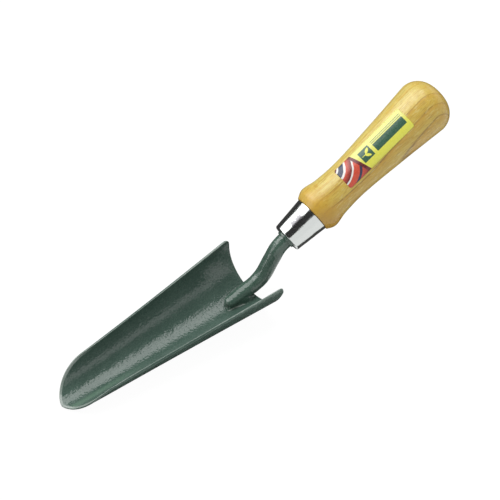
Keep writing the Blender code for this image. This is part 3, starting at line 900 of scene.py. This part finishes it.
def neck_stations(mouth):
    """Distances and radii along the bar: rounded end, taper, collar and tang."""
    turns = spread(0.0, pi / 2, NECK_TIP_STEPS)[1:] + [pi / 2]
    distances = [TIP_LENGTH * (1 - cos(turn)) for turn in turns]
    front = mouth - COLLAR_PROUD
    distance = TIP_LENGTH
    while distance + 0.0008 < front - COLLAR_EDGE:
        distance += NECK_STEP
        distances.append(distance)
    back = front + COLLAR_THICKNESS
    return [(distance, seat_radius(distance)) for distance in distances] + [
        (front - 0.00002, NECK_RADIUS),
        (front, COLLAR_RADIUS - COLLAR_EDGE),
        (front + COLLAR_EDGE * 0.3, COLLAR_RADIUS - COLLAR_EDGE * 0.3),
        (front + COLLAR_EDGE, COLLAR_RADIUS),
        (back - COLLAR_EDGE, COLLAR_RADIUS),
        (back - 0.00002, COLLAR_RADIUS - COLLAR_EDGE),
        (back, TANG_ROOT_RADIUS),
        (back + TANG_LENGTH - TANG_TIP_RADIUS, TANG_TIP_RADIUS),
        (back + TANG_LENGTH, TANG_END_RADIUS),
    ]


def make_neck(material):
    """The forged bar, as rings along its line. Near its end they are flat, low and aside."""
    line, mouth = neck_centreline()
    stations = neck_stations(mouth)
    places = []
    for distance, radius in stations:
        place = along_line(line, distance)
        flat = tip_flat(distance)
        drop = NECK_RADIUS - seat_taper(distance) * (1 - TIP_FLATNESS * flat)
        drop += 0.4 * (seat_taper(distance) - seat_radius(distance))
        places.append(Vector((place.x, TIP_ASIDE * flat, place.y - drop)))
    body = bmesh.new()
    rings = []
    normal = Vector((0, 1, 0))
    for index, (place, (distance, radius)) in enumerate(zip(places, stations)):
        ahead, behind = places[min(index + 1, len(places) - 1)], places[max(index - 1, 0)]
        along = (ahead - behind).normalized()
        normal = (normal - along * normal.dot(along)).normalized()
        other = along.cross(normal)
        flat = tip_flat(distance)
        ring = []
        for angle in spread(0.0, 2 * pi, NECK_SIDES):
            out = normal * cos(angle) * (1 + TIP_SPREAD * flat)
            out += other * sin(angle) * (1 - TIP_FLATNESS * flat)
            ring.append(body.verts.new(place + out * (radius + forged(place + out * radius))))
        rings.append(ring)
    for inner, outer in zip(rings, rings[1:]):
        bridge(body, inner, outer)
    for ring in (rings[0], rings[-1]):
        centre = body.verts.new(sum((vertex.co for vertex in ring), Vector()) / NECK_SIDES)
        bridge(body, ring, [centre] * NECK_SIDES)
    new_piece("neck_look", body, material, "neck", AT_BLADE, TURNED_SHARP)


def weld_outline():
    """Stations round the neck's end as (x, how far round to the front, to which side)."""
    front = NECK_START + WELD_FRONT
    straight = spread(WELD_REAR, front, WELD_SIDE_STEPS)
    turns = spread(0.0, pi, WELD_TURN_STEPS) + [pi]
    outline = [(x, 0.0, 1.0) for x in straight]
    outline += [(front, sin(turn), cos(turn)) for turn in turns]
    outline += [(x, 0.0, -1.0) for x in reversed(straight)]
    return outline


def weld_line(x, ahead, aside, end):
    """The weld's inner end, under the neck's flank, and its outer end, at the toe."""
    flat = tip_flat(x - NECK_START)
    half = seat_taper(x - NECK_START) * (1 + TIP_SPREAD * flat)
    near = 0.5 - aside * 0.5  # 1 on the -Y side
    inner_x = x - ahead * (WELD_FRONT - WELD_UNDER_NECK)
    inner = Vector((inner_x, TIP_ASIDE * flat + aside * half * 0.86, 0))
    run = x - NECK_START - WELD_FRONT
    toe = WELD_TOE + WELD_NEAR_TOE * near + (0.24 + 0.04 * near) * run
    toe = half * 0.90 + (toe - half * 0.90) * (0.15 + 0.85 * end)
    outer = Vector((x - ahead * (WELD_FRONT + WELD_AHEAD), aside * toe, 0))
    start_lump = WELD_NEAR_TOE * exp(-((ahead - 0.6) ** 2 + (aside + 0.8) ** 2) / 0.10)
    return inner, outer + (outer - inner).normalized() * start_lump


def make_weld(material):
    """The fillet of weld round the seated end, from the neck's flank down to a toe on the
    trough, with ripples and, on the -Y side, a low ridge at the toe."""
    body = bmesh.new()
    rings = []
    travelled = 0.0
    previous = None
    for x, ahead, aside in weld_outline():
        end = smooth(WELD_REAR - x, 0.0, WELD_END_LENGTH)
        end = WELD_END_SHARE + (1 - WELD_END_SHARE) * end
        inner, outer = weld_line(x, ahead, aside, end)
        if previous is not None:
            travelled += (outer - previous).length
        lump = noise.noise(Vector((travelled * 210.0, 3.7, 1.2)))
        outer += (outer - inner).normalized() * WELD_LUMP * lump * end
        previous = outer
        ripple = WELD_RIPPLE * abs(sin(pi * travelled / WELD_RIPPLE_PITCH)) + 0.00010 * lump
        crest = seat_taper(x - NECK_START) * (1.24 - 0.34 * ahead) * end
        convex = 0.85 * end * (1 - 0.7 * ahead)
        lip = smooth(-aside, 0.30, 0.75) * smooth(WELD_LIP_END - x, 0.0, 0.004)
        lip *= WELD_LIP * (1 + lump / 2)
        foot_share = max(0.4, 1 - WELD_LIP_WIDTH / (outer - inner).length)
        ring = []
        for step in range(WELD_FACE_STEPS + 1):
            share = step / WELD_FACE_STEPS
            foot = min(1.0, share / foot_share)
            place = inner.lerp(outer, share)
            height = crest * (1 - foot + (cos(pi / 2 * foot) - 1 + foot) * convex)
            height += ripple * sin(pi * foot)
            if share > foot_share:
                beyond = (share - foot_share) / (1 - foot_share)
                height = max(height, lip * sin(pi * beyond) ** 0.7)
            place.z = trough_height(place) + (height if step < WELD_FACE_STEPS else -0.0002)
            ring.append(body.verts.new(place))
        for share in (0.75, 0.25):
            place = inner.lerp(outer, share)
            place.z = trough_height(place) - WELD_DEPTH
            ring.append(body.verts.new(place))
        rings.append(ring)
    for first, second in zip(rings, rings[1:]):
        bridge(body, first, second)
    for ring in (rings[0], rings[-1]):
        body.faces.new(ring)
    new_piece("weld_look", body, material, "weld_bead", AT_BLADE, FORMED_SHARP)


# ---- ferrule, handle, label


def ferrule_radius(height):
    widening = (FERRULE_TAIL_RADIUS - FERRULE_MOUTH_RADIUS) / FERRULE_LENGTH
    return FERRULE_MOUTH_RADIUS + widening * height


def drawn(place):
    """The ferrule's wall is a few hundredths of a millimetre out of round."""
    return 0.00004 * noise.noise(Vector((place.x * 90.0, place.y * 90.0, place.z * 120.0)))


def make_ferrule(material):
    hole = COLLAR_RADIUS + SEAT_GAP / 2
    inner_front = ferrule_radius(FERRULE_SHEET) - FERRULE_SHEET
    corners = [
        (FERRULE_TAIL_RADIUS - FERRULE_SHEET / 2, FERRULE_LENGTH, 0),
        (FERRULE_TAIL_RADIUS, FERRULE_LENGTH, FERRULE_SHEET / 3),
        (FERRULE_MOUTH_RADIUS, 0, FERRULE_EDGE_RADIUS),
        (hole, 0, FERRULE_SHEET / 4),
        (hole, FERRULE_SHEET, 0),
        (inner_front, FERRULE_SHEET, FERRULE_SHEET / 2),
        (FERRULE_TAIL_RADIUS - FERRULE_SHEET, FERRULE_LENGTH, 0),
    ]
    outline = filleted(corners, FERRULE_ARC_STEP)
    profile = []
    for start, end in zip(outline, outline[1:] + outline[:1]):
        profile += spread(start, end, max(1, round((end - start).length / FERRULE_NET)))
    body = turned_body(profile, True, drawn)
    new_piece("ferrule_look", body, material, "ferrule", AT_HANDLE, TURNED_SHARP)


def handle_radius(distance):
    if distance < HANDLE_BEAD_DISTANCE:
        share = 1 - distance / HANDLE_BEAD_DISTANCE
        rise = (HANDLE_BEAD_RADIUS - HANDLE_SHOULDER_RADIUS) * cos(pi / 2 * share)
        return HANDLE_SHOULDER_RADIUS + rise
    ahead = (2 * HANDLE_BEAD_DISTANCE - HANDLE_THROAT_DISTANCE, HANDLE_THROAT_RADIUS)
    return smooth_radius([ahead] + HANDLE_STATIONS, distance)


def make_handle(material):
    """The turned handle from butt to shoulder, with the spigot and the tang's bore."""
    butt = SHOULDER + HANDLE_BUTT_DISTANCE
    profile = []
    for angle in spread(pi / 2, 0.0, DOME_STEPS):
        radius = HANDLE_BUTT_RADIUS * cos(angle) ** BUTT_DOME_FULLNESS
        profile.append((radius, butt + BUTT_DOME_LENGTH * sin(angle)))
    distances = spread(HANDLE_BUTT_DISTANCE, HANDLE_BEAD_DISTANCE, HANDLE_STEPS)
    distances += spread(HANDLE_BEAD_DISTANCE, 0.0, BEAD_STEPS) + [0.0]
    profile += [(handle_radius(distance), SHOULDER + distance) for distance in distances]
    collar_back = COLLAR_THICKNESS - COLLAR_PROUD
    front = max(FERRULE_SHEET, collar_back) + SEAT_GAP
    spigot_front = ferrule_radius(front) - FERRULE_SHEET - SEAT_GAP
    tang_tip = collar_back + TANG_LENGTH
    taper = (TANG_ROOT_RADIUS - TANG_TIP_RADIUS) / (TANG_LENGTH - TANG_TIP_RADIUS)
    profile += [
        (FERRULE_TAIL_RADIUS - FERRULE_SHEET - SEAT_GAP, SHOULDER),
        (spigot_front, front + SPIGOT_CHAMFER),
        (spigot_front - SPIGOT_CHAMFER, front),
        (TANG_ROOT_RADIUS + SEAT_GAP - (front - collar_back) * taper, front),
        (TANG_TIP_RADIUS + SEAT_GAP, tang_tip + SEAT_GAP),
        (0.0, tang_tip + SEAT_GAP + BORE_POINT_LENGTH),
    ]
    body = turned_body(profile, False)
    new_piece("handle_look", body, material, "handle", AT_HANDLE, TURNED_SHARP)


def make_label(material):
    """The sticker: pressed onto the wood, its corners rounded, its edge a hair proud."""
    body = bmesh.new()
    net = []
    for along in spread(0.0, LABEL_LENGTH, LABEL_LENGTH_STEPS) + [LABEL_LENGTH]:
        half = LABEL_WIDTH / 2 - corner_cut(LABEL_CORNER_RADIUS, min(along, LABEL_LENGTH - along))
        distance = LABEL_START + along
        radius = handle_radius(distance) + LABEL_LIFT
        line = []
        for reach in spread(-half, half, LABEL_WIDTH_STEPS) + [half]:
            turn = LABEL_TURN + reach / radius
            place = (-radius * cos(turn), radius * sin(turn), SHOULDER + distance)
            line.append(body.verts.new(place))
        net.append(line)
    for lower, upper in zip(net, net[1:]):
        bridge(body, upper, lower, closed=False)
    label = new_piece("label_look", body, material, "label", AT_HANDLE)
    sheet = label.modifiers.new("sheet", "SOLIDIFY")
    sheet.thickness = LABEL_THICKNESS
    sheet.offset = 1


# ---- studio

CAMERA_AZIMUTH = radians(-129.5957)
CAMERA_ELEVATION = radians(50.8381)
CAMERA_ROLL = radians(1.5800)
CAMERA_PLACE = (-0.839368, -1.005511, 1.620389)
CAMERA_LENS = 218.73
CAMERA_SHIFT = (0.01054, 0.0600)

TARGET = Vector((0.0, 0.0, 0.03))
KEY_DIRECTION = Vector((0.025, 0.4460, 0.9026)).normalized()
KEY_DISTANCE = 1.6
KEY_TURN = radians(-22.0)
KEY_LEAN = radians(-17.5)
KEY_SIZE = (2.24, 1.42)
KEY_RADIANCE = 2.82
WORLD_LIGHT = 0.50

FLOOR_SIZE = 30.0
FLOOR_DROP = 0.0005
FLOOR_TONE = 0.80
FLOOR_GLOW = 0.96
FLOOR_SHADOW = 0.10

ARCH_RADIUS = 2.6
ARCH_HALF = 4.0
ARCH_ANGLES = [radians(-48.5 + 9.0 * step) for step in range(17)]
DARK_TONE = 0.10
GLOWING_TONE = 0.14
PALE_CARD_DISTANCE = 1.95
PALE_CARD = [(-1.25, -0.36), (-0.30, -0.58), (-0.15, 0.84), (-1.25, 1.94)]
PALE_CARD_GLOW = 1.5
PALE_STRIP_X = -2.5
PALE_STRIP = (0.20, 1.60, 0.0, 1.70)
PALE_STRIP_GLOW = 2.2
MAT_DROP = 0.0001
# Dark sheets on the floor, seen only in reflections: their tone, left, right, front and back.
# The two in front are painted shadow, where the part's shade falls on the floor; the far one is
# dark surroundings. Beside the neck is a gap.
MATS = {
    "shadow_reflection_front": (DARK_TONE, 0.036, 1.2, -0.045, 0.0),
    "shadow_reflection_blade": (DARK_TONE, -1.2, 0.014, -0.045, 0.0),
    "dark_mat": (0.05, -1.2, 1.2, 0.0, 2.6),
}


def matrix_of(x_axis, y_axis, z_axis, place):
    matrix = Matrix((x_axis, y_axis, z_axis)).transposed().to_4x4()
    matrix.translation = place
    return matrix


def turned_pair(first, second, angle):
    """Two axes, turned by an angle in their plane."""
    return first * cos(angle) + second * sin(angle), second * cos(angle) - first * sin(angle)


def rectangle(left, right, front, back):
    return [(left, front), (right, front), (right, back), (left, back)]


def new_sheet(name, corners, material):
    """Flat four-sided faces, from their corners one after the other."""
    mesh = bpy.data.meshes.new(name)
    faces = [tuple(range(first, first + 4)) for first in range(0, len(corners), 4)]
    mesh.from_pydata(corners, [], faces)
    mesh.materials.append(material)
    sheet = add_to_scene(name, mesh)
    return sheet


def make_floor():
    """A pale floor, white where it is open, with a soft shadow."""
    tree = new_tree("pale_floor")
    tree.set(Base_Color=(FLOOR_TONE,) * 3, Roughness=0.9, Specular_IOR_Level=0.0)
    plain = tree.shader.outputs[0]
    glow = tree.node("ShaderNodeEmission", {"Color": (1.0, 1.0, 1.0), "Strength": FLOOR_GLOW})
    shadow = tree.node("ShaderNodeMixShader", {0: FLOOR_SHADOW, 2: plain})
    shown = tree.node("ShaderNodeAddShader", (shadow[0], glow[0]))
    mixed = tree.node("ShaderNodeMixShader", (tree.seen(), plain, shown[0]))
    tree.feed(tree.nodes["Material Output"].inputs["Surface"], mixed[0])
    corners = rectangle(-FLOOR_SIZE, FLOOR_SIZE, -FLOOR_SIZE, FLOOR_SIZE)
    new_sheet("floor", [(x, y, -FLOOR_DROP) for x, y in corners], tree.owner)


def make_world():
    """White where it is seen, and an even light."""
    world = bpy.data.worlds.new("studio")
    bpy.context.scene.world = world
    tree = Tree(world, "Background")
    level = tree.math("MULTIPLY_ADD", tree.seen(), 1.0 - WORLD_LIGHT, WORLD_LIGHT)
    tree.set(Color=(1.0, 1.0, 1.0), Strength=level)


def make_key():
    """A large softbox, leaning so that one short end comes nearer."""
    data = bpy.data.lights.new("key", "AREA")
    data.shape = "RECTANGLE"
    data.size, data.size_y = KEY_SIZE
    data.energy = KEY_RADIANCE * pi * KEY_SIZE[0] * KEY_SIZE[1]
    side = (Vector((1, 0, 0)) - KEY_DIRECTION * KEY_DIRECTION.x).normalized()
    side, up = turned_pair(side, KEY_DIRECTION.cross(side), KEY_TURN)
    facing, side = turned_pair(KEY_DIRECTION, side, KEY_LEAN)
    lamp = add_to_scene("key", data)
    lamp.matrix_world = matrix_of(side, up, facing, TARGET + KEY_DIRECTION * KEY_DISTANCE)
    lamp.visible_camera = False


def new_card(name, corners, tone, glow=0.0):
    """A dark or a glowing card beside the set, seen only in what is glossy; where it glows it is a
    painted reflection, which lights nothing.
    """
    tree = new_tree(name)
    tree.set(Base_Color=(tone,) * 3, Roughness=0.9, Specular_IOR_Level=0.0)
    tree.set(Emission_Color=(1.0, 1.0, 1.0), Emission_Strength=glow)
    card = new_sheet(name, corners, tree.owner)
    card.visible_camera = False
    card.visible_diffuse = False
    card.visible_transmission = False
    card.visible_shadow = False
    card.visible_volume_scatter = False


def make_cards():
    # a dark arch behind the key, from the camera's side over the top and down behind
    arch = []
    for first, second in zip(ARCH_ANGLES, ARCH_ANGLES[1:]):
        for angle, x in ((first, -1), (first, 1), (second, 1), (second, -1)):
            out = Vector((0, ARCH_RADIUS * sin(angle), ARCH_RADIUS * cos(angle)))
            arch.append(TARGET + out + Vector((x * ARCH_HALF, 0, 0)))
    new_card("dark_arch", arch, DARK_TONE)
    # a pale glowing card beyond the key's near end: a painted reflection
    centre, across = Vector((0, 0.5, 0.866)), Vector((0, 0.866, -0.5))
    pale = [centre + Vector((x, 0, 0)) + across * reach for x, reach in PALE_CARD]
    pale = [TARGET + corner * PALE_CARD_DISTANCE for corner in pale]
    new_card("pale_card", pale, GLOWING_TONE, PALE_CARD_GLOW)
    # a dark card closes the arch beyond the nose, with a narrow pale glowing one low in front of
    # it, a painted reflection too
    end = rectangle(-ARCH_RADIUS, ARCH_RADIUS, 0.0, ARCH_RADIUS)
    new_card("dark_end", [(-ARCH_HALF, y, z) for y, z in end], DARK_TONE)
    strip = [(PALE_STRIP_X, y, z) for y, z in rectangle(*PALE_STRIP)]
    new_card("pale_strip", strip, GLOWING_TONE, PALE_STRIP_GLOW)
    for name, (tone, *sides) in MATS.items():
        new_card(name, [(x, y, -MAT_DROP) for x, y in rectangle(*sides)], tone)


def make_camera():
    level, rise = cos(CAMERA_ELEVATION), sin(CAMERA_ELEVATION)
    toward = Vector((level * cos(CAMERA_AZIMUTH), level * sin(CAMERA_AZIMUTH), rise))
    right = Vector((-sin(CAMERA_AZIMUTH), cos(CAMERA_AZIMUTH), 0))
    right, up = turned_pair(right, toward.cross(right), CAMERA_ROLL)
    data = bpy.data.cameras.new("camera")
    data.lens = CAMERA_LENS
    data.sensor_width = 36.0
    data.shift_x, data.shift_y = CAMERA_SHIFT
    data.clip_start = 0.05
    data.clip_end = 100.0
    camera = add_to_scene("camera", data)
    camera.matrix_world = matrix_of(right, up, toward, CAMERA_PLACE)
    bpy.context.scene.camera = camera


# ---- the whole

bpy.context.scene.view_settings.view_transform = "Standard"
make_camera()
make_world()
make_floor()
make_key()
make_cards()

# patches of painted light on the enamel: a lighter near wall, and painted highlights on the nose's
# edge, inside the rims and along the weld's toe
BLADE_PATCHES = [(painted_flank_light, 1.0, PAINTED_LIGHT_GREEN, 0.0), (nose_and_rim_highlights, 0.92, PAINTED_HIGHLIGHT_ENAMEL, 0.15)]
WELD_PATCHES = [(weld_toe_highlight, 0.92, PAINTED_HIGHLIGHT_ENAMEL, 0.15)]
make_blade(enamel("hammered_enamel", (0.058, 0.101, 0.081), (0.080, 0.129, 0.105), BLADE_PATCHES))
make_neck(enamel("neck_enamel", (0.056, 0.104, 0.079), (0.080, 0.134, 0.105)))
# the weld's enamel is mixed a little lighter than the neck's: painted light on the fillet beside
# the neck
make_weld(enamel("weld_enamel", (0.062, 0.115, 0.088), (0.090, 0.152, 0.118), WELD_PATCHES))
make_ferrule(chrome())
make_handle(lacquered_wood())
make_label(printed_label())

bpy.context.view_layer.update()
